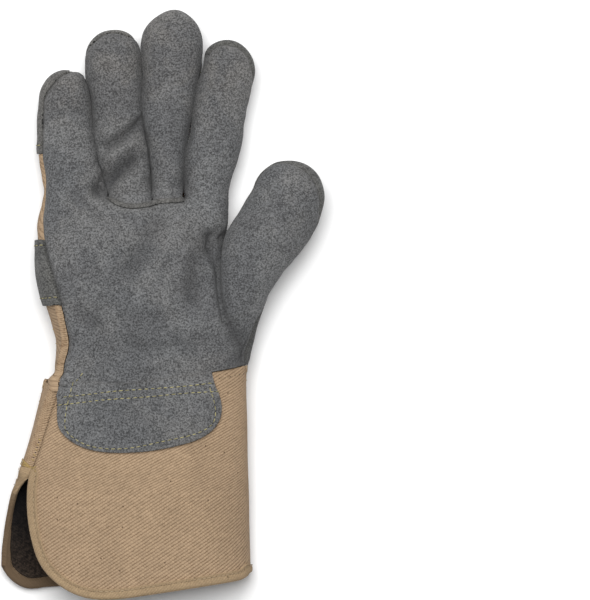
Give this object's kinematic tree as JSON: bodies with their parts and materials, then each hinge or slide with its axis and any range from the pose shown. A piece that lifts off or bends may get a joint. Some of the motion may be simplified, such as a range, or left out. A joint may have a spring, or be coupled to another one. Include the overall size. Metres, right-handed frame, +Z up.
{
  "type": "leather work glove",
  "caption": "Hollow right-hand work glove with a leather palm, canvas back, knuckle strap and flared canvas gauntlet cuff with a side slit, lying palm up.",
  "frame": {"origin": "under the middle of the glove's box, on the surface it lies on", "axes": "+Y to the fingertips, +X to the thumb's side, +Z up, out of the palm"},
  "size_m": [0.1758, 0.3198, 0.0446],
  "materials": {
    "palm_leather": "matt grey split suede with a short nap",
    "tip_leather": "matt pale grey split suede",
    "back_leather": "matt grey split suede",
    "canvas": "unbleached cotton twill, a diagonal weave with dark flecks",
    "hem_canvas": "the same cotton twill, turned and stitched as a hem",
    "dark_lining": "matt dark brown lining"
  },
  "bodies": {
    "root": {"palm": "palm_leather", "ring_finger_front": "palm_leather", "middle_finger_front": "palm_leather", "thumb_front": "palm_leather", "heel_patch": "palm_leather", "finger_base_welt": "tip_leather", "little_fingertip": "tip_leather", "ring_fingertip": "tip_leather", "middle_fingertip": "tip_leather", "index_finger_back": "back_leather", "thumb_back": "back_leather", "knuckle_strap": "back_leather", "canvas_back": "canvas", "cuff": "canvas", "cuff_binding": "hem_canvas", "cuff_lining": "dark_lining"}
  },
  "joints": []
}
